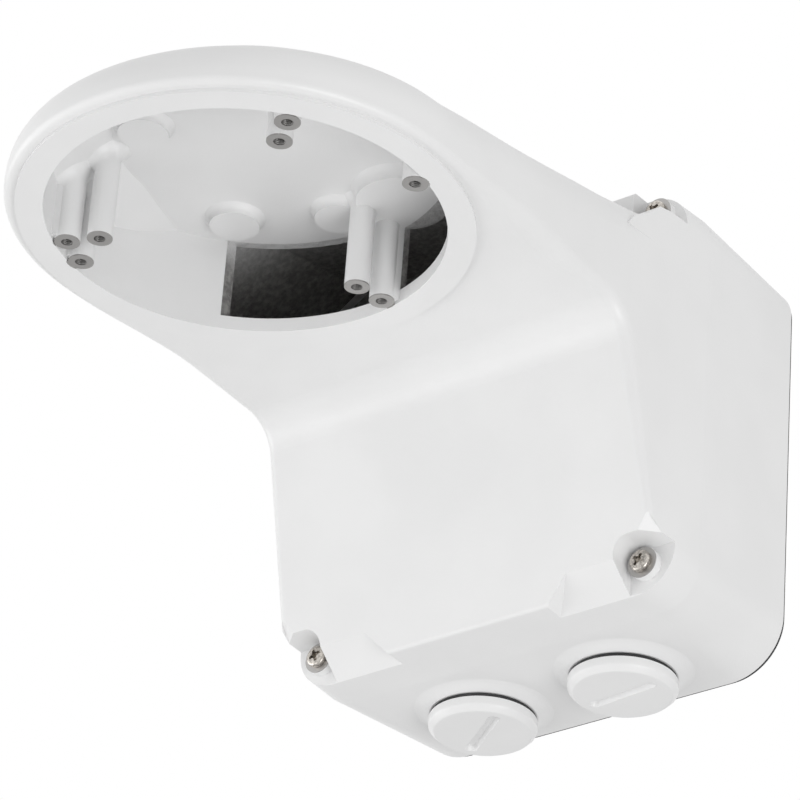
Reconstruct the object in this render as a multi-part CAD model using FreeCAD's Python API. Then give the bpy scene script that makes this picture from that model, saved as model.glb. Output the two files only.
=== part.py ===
import FreeCAD, Part
import math
import os

os.makedirs("parts", exist_ok=True)

Vec = FreeCAD.Vector
ORIGIN = Vec(0, 0, 0)
UP = Vec(0, 0, 1)
BACK = Vec(0, 1, 0)
RIGHT = Vec(1, 0, 0)

# The bracket is modelled about the flange's axis, with z = 0 on the ring that the
# camera seals on, +Y towards the wall and +Z up. The finished solids are moved at the
# end, so that the middle of the wall face is the origin. Sizes are in millimetres.

# Flange ring and the cup inside it
flange_r = 81.5
land_margin = 3.9
flange_wall = 13.5
mouth_lip = 0.3
cup_relief = 3.6
land_step = 1.3
cup_ceiling = 35.7

# Arm: how far its sides have drawn in from the flange's radius at each distance behind the
# axis, and the edge where the upright sides turn into the bevelled roof
arm_draw_in = ((14.0, 0.25), (32.0, 1.1), (46.0, 1.9), (60.0, 2.6), (75.0, 2.9), (90.0, 3.0))
neck_y = 113.7
neck_z = -12.0
neck_draw_in = 3.05
edge_at_axis = 20.3
edge_slope_nose = 0.075
edge_slope_arm = 0.205
edge_blend = 8.0
bevel_angle = math.radians(33.0)
roof_nose = 38.9
roof_slope = 0.19
roof_blend_r = 150.0
shoulder_round = 18.0
# Radius of the arm's lower edges at each distance behind the axis, and at the foot of the
# ridges that go on from them down the box's front
arm_edge_rounds = ((-90.0, 2.6), (10.0, 2.6), (52.0, 7.4), (62.0, 7.4), (98.0, 4.2), (146.0, 4.2))
ridge_round_low = 2.2

# Front half of the box, part of the arm casting. Its front leans, and its outline grows
# towards the parting with the junction box
lean = 0.268
bend_r = 14.0
bend_length = 16.7
parting_y = 157.8
parting_spread = 2.35
parting_low = -91.6
parting_high = 68.5
corner_r = 15.2
front_draft_low = 0.4
front_draft_high = 0.5
step_depth = 22.8
lip_round = 1.5

# Corner pockets and their screws
screw_side_inset = 11.8
screw_low_inset = 10.3
screw_high_inset = 8.5
pocket_reach = 6.6
pocket_depth = 14.4
boss_r = 5.7
boss_rise = 3.5
# Ledge in front of each upper pocket: distance in front of the parting and drop under the
# pocket's floor, down to the arm's shoulder
ledge_outline = ((47.8, 17.4), (43.8, 12.2), (36.3, 7.2), (30.2, 1.3), (23.4, 0.0), (11.8, 0.0))
ledge_inset = 5.0

# Small flat at the foot of each ridge
flat_height = 5.7
flat_tip_inset = 2.6
flat_inner_inset = 7.2
flat_outer_depth = 21.8

# Recesses in the lower front edge
recess_setback = 18.8
recess_height = 9.6
recess_depth = 13.8
recess_end_top = 43.0
recess_end_low = 33.4
recess_reach = 3.0

# Walls
wall = 3.5
box_wall = 4.3
floor_z = 5.2

# Junction box
back_y = 214.4
back_draft_side = 3.1
back_draft_low = 1.4
back_draft_high = 1.5
back_corner_low_r = 21.0
back_corner_high_r = 13.0
back_wall = 4.0

# Blanking plugs
plug_x = 30.0
plug_offset = 0.8
plug_thread_r = 16.0
plug_head_r = 19.4
plug_side = 3.2
plug_chamfer = 2.0
plug_slot_length = 26.0
plug_slot_width = 3.0
plug_slot_depth = 2.6
plug_turns = (-36.0, -6.0)
plug_length = 14.0
pad_r = 19.3
pad_drop = 2.0
pad_root_r = 23.3
pad_rise = 6.0
collar_r = 20.5
collar_height = 11.1
ring_height = 1.6
ring_inner_r = 16.1
ring_outer_r = 19.0
thread_clearance = 0.05

# Screws
metric4_r = 2.0
clear_hole_r = 2.25
screw_head_r = 4.0
screw_head_h = 2.6
screw_dome = 0.9
screw_length = 25.0
tapped_depth = 18.0

# Camera posts in the cup, each at an angle from +X round the axis
post_r = 4.4
post_hole_depth = 12.0
post_pitch = 11.7
outer_post_inset = 4.6
side_post_inset = 3.9
post_angles = (-39.3, 80.7, -159.3)
side_post_angles = (9.3, -170.7)

# Round pads on the cup's ceiling: place, radius and how far each hangs down
ceiling_pads = (
    (-37.2, 36.9, 8.75, 3.5), (-3.0, 52.5, 8.75, 3.5), (-28.5, -24.0, 8.75, 3.5), (23.0, 54.0, 16.0, 5.0),
)

# Wall fixing
wall_hole_spacing = 110.0
wall_hole_r = 3.25
wall_boss_r = 7.0
wall_boss_h = 2.0
cable_r = 20.0
gasket_thickness = 2.0
gasket_inset = 1.0
box_middle_z = -11.8

# Seal between the castings
seal_gap = 1.0
seal_width = 2.0
seal_depth = 2.4

# Worked out from the sizes above
land_r = flange_r - land_margin
cup_r = flange_r - flange_wall
mouth_r = cup_r - mouth_lip
cup_back_r = cup_r + cup_relief
outer_post_circle = cup_r - outer_post_inset
inner_post_circle = outer_post_circle - post_pitch
side_post_circle = cup_r - side_post_inset
arm_sides = tuple((y, flange_r - drawn_in) for y, drawn_in in arm_draw_in)
neck_half = flange_r - neck_draw_in
parting_half = neck_half + parting_spread
front_low = parting_low + front_draft_low
front_high = parting_high - front_draft_high
step_y = parting_y - step_depth
back_half = parting_half - back_draft_side
back_low = parting_low + back_draft_low
back_high = parting_high - back_draft_high
screw_x = parting_half - screw_side_inset
screw_low = parting_low + screw_low_inset
screw_high = parting_high - screw_high_inset
pocket_floor = parting_y - pocket_depth
arm_end_y = parting_y - ledge_outline[-1][0]
recess_front = (neck_y + recess_setback, parting_low + recess_height)
recess_back = (parting_y - recess_depth, parting_low)
plug_y = (parting_y + back_y) / 2 + plug_offset
pad_z = parting_low - pad_drop
plug_head_z = pad_z - ring_height
collar_top = parting_low + collar_height
reach = 130.0
bevel_slope = math.tan(bevel_angle)
wall_face_y = back_y + gasket_thickness


def rounded_wire(corners, place):
    """Closed wire through (u, v, radius) corners, each turned with an arc of its radius."""
    edges = []
    ends = []
    count = len(corners)
    for index in range(count):
        u, v, radius = corners[index]
        here = Vec(u, v, 0)
        before = corners[index - 1]
        after = corners[(index + 1) % count]
        to_before = (Vec(before[0], before[1], 0) - here).normalize()
        to_after = (Vec(after[0], after[1], 0) - here).normalize()
        if radius <= 0:
            ends.append((here, here, None))
            continue
        half = to_before.getAngle(to_after) / 2
        middle_way = (to_before + to_after).normalize()
        cut = radius / math.tan(half)
        middle = here + middle_way * (radius / math.sin(half) - radius)
        ends.append((here + to_before * cut, here + to_after * cut, middle))
    for index in range(count):
        start, end, middle = ends[index]
        if middle is not None:
            arc = Part.Arc(place(start.x, start.y), place(middle.x, middle.y), place(end.x, end.y))
            edges.append(arc.toShape())
        following = ends[(index + 1) % count][0]
        if end.distanceToPoint(following) > 1e-6:
            edges.append(Part.makeLine(place(end.x, end.y), place(following.x, following.y)))
    return Part.Wire(edges)


def across(corners, left=-reach, right=reach):
    """Solid of a side-view outline of (y, z, radius) corners, swept along X."""
    wire = rounded_wire(corners, lambda y, z: Vec(left, y, z))
    return Part.Face(wire).extrude(Vec(right - left, 0, 0))


def along(corners, front, back):
    """Solid of a front-view outline of (x, z, radius) corners, swept along Y."""
    wire = rounded_wire(corners, lambda x, z: Vec(x, front, z))
    return Part.Face(wire).extrude(Vec(0, back - front, 0))


def turned(corners):
    """Solid of a half section of (radius, z, rounding) corners, turned about the Z axis."""
    wire = rounded_wire(corners, lambda r, z: Vec(r, 0, z))
    return Part.Face(wire).revolve(ORIGIN, UP, 360)


def mirrored(solid):
    return solid.mirror(ORIGIN, RIGHT)


def front_at(z):
    """Distance behind the axis of the box's leaning front at a height."""
    return neck_y + lean * (neck_z - z)


def side_at(y):
    """Half-width of the arm's side behind the axis, read off its stations."""
    stations = ((0.0, flange_r),) + arm_sides + ((neck_y, neck_half), (parting_y, parting_half))
    for (y0, x0), (y1, x1) in zip(stations, stations[1:]):
        if y <= y1:
            return x0 + (x1 - x0) * (y - y0) / (y1 - y0)
    return parting_half


def plan_solid(inset, low, high):
    """The casting's outline seen from above, shrunk by inset, as an upright solid."""
    radius = flange_r - inset
    points = [Vec(radius, 0, low)]
    points += [Vec(x - inset, y, low) for y, x in arm_sides]
    points += [Vec(neck_half - inset, neck_y, low)]
    spread = parting_half - neck_half
    last = Vec(spread, parting_y - neck_y, 0).normalize()
    side = Part.BSplineCurve()
    side.interpolate(Points=points, InitialTangent=BACK, FinalTangent=Vec(-0.01, 1, 0).normalize())
    places = [side.parameter(point) for point in points]
    right = [Part.Edge(side, start, end) for start, end in zip(places, places[1:])]
    left = [mirrored(edge) for edge in right]
    nose = Part.Arc(Vec(-radius, 0, low), Vec(0, -radius, low), Vec(radius, 0, low)).toShape()
    neck = points[-1]
    far = neck + last * ((parting_y - neck_y) / last.y)
    neck_left = Vec(-neck.x, neck.y, low)
    far_left = Vec(-far.x, far.y, low)
    edges = [nose, Part.makeLine(neck, far), Part.makeLine(far, far_left)]
    edges += [Part.makeLine(far_left, neck_left)] + right + left
    wire = Part.Wire(Part.__sortEdges__(edges))
    return Part.Face(wire).extrude(UP * (high - low))


def edge_rise(y):
    """Height that the shoulder edge gains from the flange's axis to the distance y."""
    gain = edge_slope_arm - edge_slope_nose
    if y < edge_blend:
        return edge_slope_nose * y + gain * y * y / (2 * edge_blend)
    return edge_slope_nose * y + gain * (y - edge_blend / 2)


def bevel_solid(thickness):
    """Everything under the bevelled roof, lowered so as to leave a wall of this thickness.

    Over the nose it is a cone, sheared so that its edge climbs towards the wall. Behind
    the axis it is a ridge line swept sideways and down at the bevel's angle."""
    drop = thickness / math.cos(bevel_angle)
    peak = edge_at_axis + bevel_slope * flange_r - drop
    low = -60.0
    cone_face = Part.Face(Part.makePolygon([
        Vec(0, 0, low),
        Vec(-reach, 0, low),
        Vec(-reach, 0, peak - bevel_slope * reach),
        Vec(0, 0, peak),
        Vec(0, 0, low),
    ]))
    cone = cone_face.revolve(ORIGIN, UP, 180)
    shear = FreeCAD.Matrix(1, 0, 0, 0, 0, 1, 0, 0, 0, edge_slope_nose, 1, 0, 0, 0, 0, 1)
    cone = cone.transformGeometry(shear)
    stations = (0.0, edge_blend / 2, edge_blend, 14.0, 32.0, 57.0, 85.0, neck_y, step_y, parting_y + 2.2)
    ridge = []
    for y in stations:
        narrowing = bevel_slope * (flange_r - min(side_at(y), flange_r))
        ridge.append(Vec(0, y, peak + edge_rise(y) - narrowing))
    curve = Part.BSplineCurve()
    start = Vec(0, 1, edge_slope_nose).normalize()
    finish = (ridge[-1] - ridge[-2]).normalize()
    curve.interpolate(Points=ridge, InitialTangent=start, FinalTangent=finish)
    side_face = Part.Face(Part.Wire([
        curve.toShape(),
        Part.makeLine(ridge[-1], Vec(0, stations[-1], low)),
        Part.makeLine(Vec(0, stations[-1], low), Vec(0, 0, low)),
        Part.makeLine(Vec(0, 0, low), ridge[0]),
    ]))
    half = side_face.extrude(Vec(reach, 0, -bevel_slope * reach))
    return cone.fuse([half, mirrored(half)])


def roof_solid(thickness, low):
    """Everything between the height low and the roof, flat over the cup and then rising."""
    top = roof_nose - thickness
    back = arm_end_y
    return across([
        (-reach, low, 0),
        (back, low, 0),
        (back, top + roof_slope * back, 0),
        (0.0, top, roof_blend_r),
        (-reach, top, 0),
    ])


def notched_outline(offset):
    """The box's inner outline, which steps round the four corner blocks."""
    block = pocket_reach + wall
    x1 = screw_x - block + offset
    x2 = parting_half - box_wall + offset
    z1 = screw_low + block - offset
    z2 = parting_low + box_wall - offset
    z3 = screw_high - block + offset
    z4 = parting_high - box_wall + offset
    inner = block - offset
    outer = 2.5 + offset
    return [
        (x2, z1, outer), (x2, z3, outer), (x1, z3, inner), (x1, z4, outer),
        (-x1, z4, outer), (-x1, z3, inner), (-x2, z3, outer), (-x2, z1, outer),
        (-x1, z1, inner), (-x1, z2, outer), (x1, z2, outer), (x1, z1, inner),
    ]


def edges_where(solid, test):
    return [edge for edge in solid.Edges if test(edge)]


def middle_of(edge):
    first, last = edge.ParameterRange
    return edge.valueAt((first + last) / 2)


def edge_round_at(point):
    """Radius of the outer lower edge at a point, down the arm and then down a ridge."""
    if point.z < land_step - 0.01:
        share = (land_step - point.z) / (land_step - screw_low - pocket_reach)
        return arm_edge_rounds[-1][1] + share * (ridge_round_low - arm_edge_rounds[-1][1])
    for (y0, r0), (y1, r1) in zip(arm_edge_rounds, arm_edge_rounds[1:]):
        if point.y <= y1:
            return r0 + (r1 - r0) * (point.y - y0) / (y1 - y0)
    return arm_edge_rounds[-1][1]


def with_rounded_chain(solid, test, radius_at):
    """Round a chain of edges in one go, with a radius that changes from point to point."""
    picked = []
    for number, edge in enumerate(solid.Edges, 1):
        if test(edge):
            first, last = edge.ParameterRange
            radii = (radius_at(edge.valueAt(first)), radius_at(edge.valueAt(last)))
            picked.append((number, *radii))
    sheet = FreeCAD.newDocument("rounding")
    base = sheet.addObject("Part::Feature", "base")
    base.Shape = solid
    rounding = sheet.addObject("Part::Fillet", "chain")
    rounding.Base = base
    rounding.Edges = picked
    sheet.recompute()
    result = rounding.Shape.copy()
    FreeCAD.closeDocument(sheet.Name)
    return result


def arm_blank():
    """Flange, arm and roof as one solid block, with its shoulder rounded."""
    body = plan_solid(0, -5, 100).common(bevel_solid(0)).common(roof_solid(0, land_step))
    front = Part.makeBox(2 * reach, reach + arm_end_y, 200, Vec(-reach, -reach, -50))
    body = body.common(front)

    def shoulder(edge):
        point = middle_of(edge)
        rim = abs(point.x) > neck_half - 8 or math.hypot(point.x, point.y) > flange_r - 2
        roof_end = abs(point.x) < 1 and point.y > arm_end_y - 1
        return rim and not roof_end and point.z > 10 and abs(edge.tangentAt(edge.FirstParameter).z) < 0.7
    return body.makeFillet(shoulder_round, edges_where(body, shoulder))


def box_blank():
    """Front half of the box, with the leaning front face and the bend up to the arm."""
    bend_start_y = neck_y - bend_length
    low_front_y = front_at(front_low)
    body = across([
        (bend_start_y, land_step, 0),
        (front_at(land_step), land_step, bend_r),
        (low_front_y, front_low, 0),
        (parting_y, parting_low, 0),
        (parting_y, parting_high, 0),
        (step_y, front_high, 0),
        (step_y, 34.0, 0),
        (bend_start_y, 28.0, 0),
    ])
    body = body.fuse([ledge(-1), ledge(1)]).common(plan_solid(0, -120, 120))

    def corner(edge):
        point = middle_of(edge)
        high = point.z > front_high - 2 or point.z < front_low + 2
        lengthways = abs(edge.tangentAt(edge.FirstParameter).y) > 0.9
        return high and lengthways and abs(point.x) > neck_half - 0.5 and point.y > step_y
    body = body.makeFillet(corner_r, edges_where(body, corner))
    cutters = [pocket(side, height) for side in (-1, 1) for height in (-1, 1)]
    body = body.cut(cutters + [recess(-1), recess(1)])

    def lip(edge):
        point = middle_of(edge)
        low = abs(point.z - front_low) < 0.1 and abs(point.y - low_front_y) < 0.1
        high = abs(point.z - front_high) < 0.1 and abs(point.y - step_y) < 0.1
        return abs(point.x) < 1 and (low or high)
    return body.makeFillet(lip_round, edges_where(body, lip))


def ledge(side):
    """Block under the front of an upper pocket, which rises out of the arm's shoulder."""
    top = screw_high - pocket_reach
    corners = [(parting_y - forward, top - drop, 0) for forward, drop in ledge_outline]
    corners.append((corners[-1][0], corners[0][1], 0))
    ends = sorted((side * (screw_x - ledge_inset), side * reach))
    return across(corners, ends[0], ends[1])


def screw_places():
    return [(side * screw_x, level) for side in (-1, 1) for level in (screw_low, screw_high)]


def pocket(side, height):
    """Cutter for one corner pocket, open to the front and to both outer faces."""
    level = screw_low if height < 0 else screw_high
    way = -1 if height < 0 else 1
    inner = screw_x - pocket_reach
    ceiling = level - way * pocket_reach
    front = 100.0 if height < 0 else step_y - 2
    far = way * reach
    corners = [
        (side * inner, ceiling, pocket_reach),
        (side * reach, ceiling, 0),
        (side * reach, far, 0),
        (side * inner, far, 0),
    ]
    return along(corners, front, pocket_floor)


def recess(side):
    """Cutter for one sloping recess in the lower front edge, with a slanted end."""
    run = Vec(recess_back[0] - recess_front[0], recess_back[1] - recess_front[1], 0).normalize()
    start = Vec(recess_front[0], recess_front[1], 0) - run * 10
    end = Vec(recess_back[0], recess_back[1], 0) + run * 10
    slope = across([(start.x, start.y, 0), (end.x, end.y, 0), (start.x - 8, end.y, 0)])
    rise = recess_front[1] - recess_back[1]
    slant = (recess_end_top - recess_end_low) / rise
    top = recess_front[1] + 3
    low = recess_back[1] - 4
    corners = [
        (side * (recess_end_top + 3 * slant), top, 0),
        (side * (recess_end_low - 4 * slant), low, 0),
        (side * (screw_x + recess_reach), low, 0),
        (side * (screw_x + recess_reach), top, 0),
    ]
    return slope.common(along(corners, 110.0, 170.0))


def ridge_flat(side):
    """Cutter for the small triangular flat where a ridge runs out into a lower pocket."""
    ceiling = screw_low + pocket_reach
    flat_outer_y = parting_y - flat_outer_depth
    tip_z = ceiling + flat_height
    tip = Vec(parting_half - flat_tip_inset, front_at(tip_z), tip_z)
    inner = Vec(parting_half - flat_inner_inset, front_at(ceiling), ceiling)
    outer = Vec(side_at(flat_outer_y), flat_outer_y, ceiling)
    inner = tip + (inner - tip) * 1.15
    outer = tip + (outer - tip) * 1.15
    face = Part.Face(Part.makePolygon([tip, inner, outer, tip]))
    outward = (inner - tip).cross(outer - tip).normalize()
    if outward.z > 0:
        outward = outward * -1
    cutter = face.extrude(outward * 9)
    return cutter if side > 0 else mirrored(cutter)


def inner_space():
    """Cup, window, arm passage and box interior of the arm casting, as one cutter."""
    lowered = bevel_solid(wall)
    cup = Part.makeCylinder(cup_r, cup_ceiling + 5, Vec(0, 0, -5)).common(lowered)
    mouth = Part.makeCylinder(mouth_r, 8, Vec(0, 0, -5))
    tunnel = plan_solid(wall, floor_z, 100).common(lowered).common(roof_solid(wall, floor_z))
    behind = Part.makeBox(2 * reach, 100, 100, Vec(-reach, 30, floor_z))
    tunnel = tunnel.common(behind).cut(Part.makeCylinder(cup_back_r, 100, Vec(0, 0, 0)))
    half = cup_r * math.cos(math.radians(44.0))
    window = Part.makeBox(2 * half, 40, cup_ceiling + 0.6 - floor_z, Vec(-half, 40, floor_z))
    window = window.cut(Part.makeCylinder(cup_r - 0.5, 100, Vec(0, 0, 0)))
    window = window.common(Part.makeCylinder(cup_back_r + 2, 100, Vec(0, 0, 0)))
    inside = box_wall * 0.85
    shift = inside * math.hypot(1, lean)
    low = parting_low + box_wall
    high = parting_high - box_wall
    bend_y = front_at(floor_z) + shift
    slope_top_z = recess_front[1] + 2.0
    slope_top_y = front_at(slope_top_z) + shift
    slope_low_y = recess_back[0] + 0.6
    room = across([
        (bend_y, floor_z, bend_r - wall),
        (slope_top_y, slope_top_z, 0),
        (slope_low_y, low, 0),
        (parting_y + 1, low, 0),
        (parting_y + 1, high, 0),
        (step_y + box_wall, high, 3.0),
        (step_y + box_wall, 50.0, 0),
        (bend_y + 8, 40.0, 0),
        (bend_y, 36.0, 0),
    ])
    room = room.common(plan_solid(box_wall, -120, 120).fuse(
        Part.makeBox(2 * (parting_half - box_wall), 2, 200, Vec(box_wall - parting_half, parting_y - 0.5, -100))))
    room = room.common(along(notched_outline(0), 60, parting_y + 1))
    return cup.fuse([mouth, tunnel, window, room])


def on_circle(radius, degrees, z=0.0):
    angle = math.radians(degrees)
    return Vec(radius * math.cos(angle), radius * math.sin(angle), z)


def post_places():
    places = []
    for angle in post_angles:
        places.append((inner_post_circle, angle))
        places.append((outer_post_circle, angle))
    for angle in side_post_angles:
        places.append((side_post_circle, angle))
    return places


def cup_additions():
    """Camera posts with their webs, and the round pads on the ceiling, as solids to add."""
    adds = []
    for radius, angle in post_places():
        adds.append(Part.makeCylinder(post_r, cup_ceiling + 1.5, on_circle(radius, angle)))
        if radius > 60:
            web = Part.makeBox(cup_back_r - 1 - radius, 2 * post_r - 1, cup_ceiling + 0.5,
                               Vec(radius, 0.5 - post_r, land_step))
            adds.append(web.rotate(ORIGIN, UP, angle))
    for x, y, radius, drop in ceiling_pads:
        adds.append(Part.makeCylinder(radius, drop + 1.5, Vec(x, y, cup_ceiling - drop)))
    return adds


def casting_blank():
    """Arm and front half of the box as one block, with the outer lower edges rounded."""
    body = arm_blank().fuse(box_blank())

    def outer_low(edge):
        point = middle_of(edge)
        outside = point.y < 0 or abs(point.x) > side_at(point.y) - 0.6
        return outside and point.z < land_step + 0.01 and point.y < front_at(point.z) + 0.5
    return with_rounded_chain(body, outer_low, edge_round_at)


def arm_casting():
    blank = casting_blank()
    land = Part.makeCylinder(land_r, land_step + 1, ORIGIN)
    body = blank.fuse(land).removeSplitter()
    cutters = [pocket(side, height) for side in (-1, 1) for height in (-1, 1)]
    body = body.cut(cutters + [ridge_flat(-1), ridge_flat(1)])
    bosses = [
        Part.makeCylinder(boss_r, boss_rise + 1, Vec(x, pocket_floor - boss_rise, z), BACK)
        for x, z in screw_places()
    ]
    body = body.fuse(bosses).cut(inner_space())
    adds = [add.common(blank) for add in cup_additions()]
    adds += [
        Part.makeCylinder(post_r, floor_z, on_circle(radius, angle)) for radius, angle in post_places()
    ]
    body = body.fuse(adds)
    holes = [
        Part.makeCylinder(metric4_r, post_hole_depth + 1, on_circle(radius, angle, -1.0))
        for radius, angle in post_places()
    ]
    holes += [
        Part.makeCylinder(clear_hole_r, parting_y - 100, Vec(x, 120, z), BACK) for x, z in screw_places()
    ]
    return body.cut(holes).removeSplitter()


def framed(half, low, high, low_radius, high_radius, y):
    corners = [
        (half, low, low_radius), (half, high, high_radius),
        (-half, high, high_radius), (-half, low, low_radius),
    ]
    return rounded_wire(corners, lambda x, z: Vec(x, y, z))


def wall_holes(front, back, radius):
    half = wall_hole_spacing / 2
    return [
        Part.makeCylinder(radius, back - front, Vec(x, front, box_middle_z + z), BACK)
        for x in (-half, half) for z in (-half, half)
    ]


def junction_box():
    outer = Part.makeLoft([
        framed(parting_half, parting_low, parting_high, corner_r, corner_r, parting_y),
        framed(back_half, back_low, back_high, back_corner_low_r, back_corner_high_r, back_y),
    ], True, True)
    inner_y = back_y - back_wall
    inner = Part.makeLoft([
        framed(parting_half - box_wall, parting_low + box_wall, parting_high - box_wall, 3.0, 3.0,
               parting_y - 1),
        framed(back_half - box_wall, back_low + box_wall, back_high - box_wall, 3.0, 3.0, inner_y),
    ], True, True)
    inner = inner.common(along(notched_outline(0), parting_y - 1, back_y))
    body = outer
    pads = [
        Part.makeCone(pad_r, pad_root_r, pad_rise, Vec(side * plug_x, plug_y, pad_z)) for side in (-1, 1)
    ]
    body = body.fuse(pads).cut(inner)
    collars = [
        Part.makeCylinder(collar_r, collar_top - pad_z - 1, Vec(side * plug_x, plug_y, pad_z + 1))
        for side in (-1, 1)
    ]
    bosses = wall_holes(inner_y - wall_boss_h, inner_y + 1, wall_boss_r)
    body = body.fuse(collars + bosses)
    cuts = [
        Part.makeCylinder(plug_thread_r, 30, Vec(side * plug_x, plug_y, pad_z - 5))
        for side in (-1, 1)
    ]
    cuts += wall_holes(parting_y, back_y + 1, wall_hole_r)
    cuts.append(Part.makeCylinder(cable_r, 20, Vec(0, back_y - 10, box_middle_z), BACK))
    for x, z in screw_places():
        cuts.append(Part.makeCylinder(metric4_r, tapped_depth + 1, Vec(x, parting_y - 1, z), BACK))
    cuts.append(seal_solid())
    return body.cut(cuts).removeSplitter()


def seal_solid():
    near = along(notched_outline(seal_gap), parting_y, parting_y + seal_depth)
    far = along(notched_outline(seal_gap + seal_width), parting_y, parting_y + seal_depth)
    return far.cut(near)


def wall_gasket():
    wire = framed(back_half - gasket_inset, back_low + gasket_inset, back_high - gasket_inset,
                  back_corner_low_r - gasket_inset, back_corner_high_r - gasket_inset, back_y)
    mat = Part.Face(wire).extrude(BACK * gasket_thickness)
    cuts = wall_holes(back_y - 1, wall_face_y + 1, wall_hole_r)
    cuts.append(Part.makeCylinder(cable_r, 10, Vec(0, back_y - 2, box_middle_z), BACK))
    return mat.cut(cuts)


def cover_screw(side, level):
    """Pan-head screw, turned about its own axis and laid along Y."""
    shank = metric4_r - thread_clearance
    top = screw_length + screw_head_h
    section = [
        (0, 0), (shank - 0.5, 0), (shank, 0.5), (shank, screw_length), (screw_head_r, screw_length),
        (screw_head_r, top - screw_dome), (screw_head_r - screw_dome, top), (0, top),
    ]
    half = turned([(radius, z, 0) for radius, z in section])
    half.rotate(ORIGIN, RIGHT, 90)
    seat = pocket_floor - boss_rise
    half.translate(Vec(side * screw_x, seat + screw_length, level))
    return half


def blanking_plug(side):
    """Slotted head below, thread above. The head bears on the sealing ring."""
    shank = plug_thread_r - thread_clearance
    bottom = plug_head_z - plug_side - plug_chamfer
    section = [
        (0, bottom), (plug_head_r - plug_chamfer, bottom), (plug_head_r, plug_head_z - plug_side),
        (plug_head_r, plug_head_z), (shank, plug_head_z), (shank, plug_head_z + plug_length),
        (0, plug_head_z + plug_length),
    ]
    body = turned([(r, z, 0) for r, z in section])
    slot = Part.makeBox(plug_slot_length, plug_slot_width, plug_slot_depth + 1,
                        Vec(-plug_slot_length / 2, -plug_slot_width / 2, bottom - 1))
    slot.rotate(ORIGIN, UP, plug_turns[0] if side < 0 else plug_turns[1])
    body = body.cut(slot)
    body.translate(Vec(side * plug_x, plug_y, 0))
    return body


def plug_ring(side):
    bulge = 0.5
    section = [
        (ring_inner_r, plug_head_z), (ring_outer_r - bulge, plug_head_z),
        (ring_outer_r, plug_head_z + bulge), (ring_outer_r, pad_z - bulge),
        (ring_outer_r - bulge, pad_z), (ring_inner_r, pad_z),
    ]
    body = turned([(radius, z, 0) for radius, z in section])
    body.translate(Vec(side * plug_x, plug_y, 0))
    return body


pieces = {
    "arm_casting": arm_casting(),
    "junction_box": junction_box(),
    "box_seal": seal_solid(),
    "wall_gasket": wall_gasket(),
    "cover_screw_low_left": cover_screw(-1, screw_low),
    "cover_screw_low_right": cover_screw(1, screw_low),
    "cover_screw_high_left": cover_screw(-1, screw_high),
    "cover_screw_high_right": cover_screw(1, screw_high),
    "blanking_plug_left": blanking_plug(-1),
    "blanking_plug_right": blanking_plug(1),
    "plug_ring_left": plug_ring(-1),
    "plug_ring_right": plug_ring(1),
}

for name, solid in pieces.items():
    solid = solid.copy()
    solid.translate(Vec(0, -wall_face_y, -box_middle_z))
    bodies = solid.Solids
    print(name, "valid", solid.isValid(), "solids", len(bodies), "volume", round(solid.Volume / 1000, 1))
    shape = bodies[0] if len(bodies) == 1 else solid
    shape.exportStep("parts/" + name + ".step")
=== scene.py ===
import math

import bpy
import numpy as np
from bpy.props import FloatProperty, FloatVectorProperty, IntProperty, PointerProperty
from bpy.types import Operator, Panel, PropertyGroup
from mathutils import Matrix, Vector


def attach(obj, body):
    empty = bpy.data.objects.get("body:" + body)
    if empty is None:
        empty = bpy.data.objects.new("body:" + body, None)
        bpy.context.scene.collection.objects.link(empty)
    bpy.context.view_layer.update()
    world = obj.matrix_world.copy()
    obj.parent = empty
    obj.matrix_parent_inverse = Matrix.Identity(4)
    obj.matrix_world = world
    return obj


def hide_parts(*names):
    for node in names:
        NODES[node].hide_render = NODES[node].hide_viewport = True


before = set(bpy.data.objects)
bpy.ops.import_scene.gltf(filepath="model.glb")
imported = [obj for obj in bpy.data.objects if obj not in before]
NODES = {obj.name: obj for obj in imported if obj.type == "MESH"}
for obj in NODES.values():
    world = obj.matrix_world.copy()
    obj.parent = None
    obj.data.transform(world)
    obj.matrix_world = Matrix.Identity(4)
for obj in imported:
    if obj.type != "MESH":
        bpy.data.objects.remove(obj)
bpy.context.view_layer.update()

bl_info = {
    "name": "Wall bracket finish",
    "version": (1, 0, 0),
    "blender": (4, 5, 0),
    "location": "3D View > Sidebar > Bracket",
    "description": "Finishes and small fittings of a die-cast camera wall bracket",
    "category": "Object",
}

MM = 0.001

# Places in the row's frame, in millimetres: the flange's axis stands at y = AXIS_Y and the
# ring that the camera seals on lies at z = RING_Z.
AXIS_Y = -216.4
RING_Z = 11.8
POSTS = tuple(
    (radius * math.cos(math.radians(angle)), AXIS_Y + radius * math.sin(math.radians(angle)))
    for radius, angle in (
        (51.7, -39.3), (63.4, -39.3), (51.7, 80.7), (63.4, 80.7),
        (51.7, -159.3), (63.4, -159.3), (64.1, 9.3), (64.1, -170.7),
    )
)
POST_R = 4.4
POST_END_R = 4.9
POST_HOLE_R = 2.2
POST_HOLE_DEEP = 13.0
POST_THREAD_R = 1.99
POST_THREAD_DEEP = 11.6

# Cover screws: x and z of the axis, and the turn of the cross in radians
SCREWS = {
    "low_left": (-69.0, -69.5, 0.35), "low_right": (69.0, -69.5, 0.95),
    "high_left": (-69.0, 71.8, 0.1), "high_right": (69.0, 71.8, 0.6),
}
SCREW_SEAT_Y = -76.5
SCREW_BOSS_R = 5.85
SCREW_SHAFT_R = 2.5
SCREW_THREAD_R = 1.95
SCREW_REACH = 25.0

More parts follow.
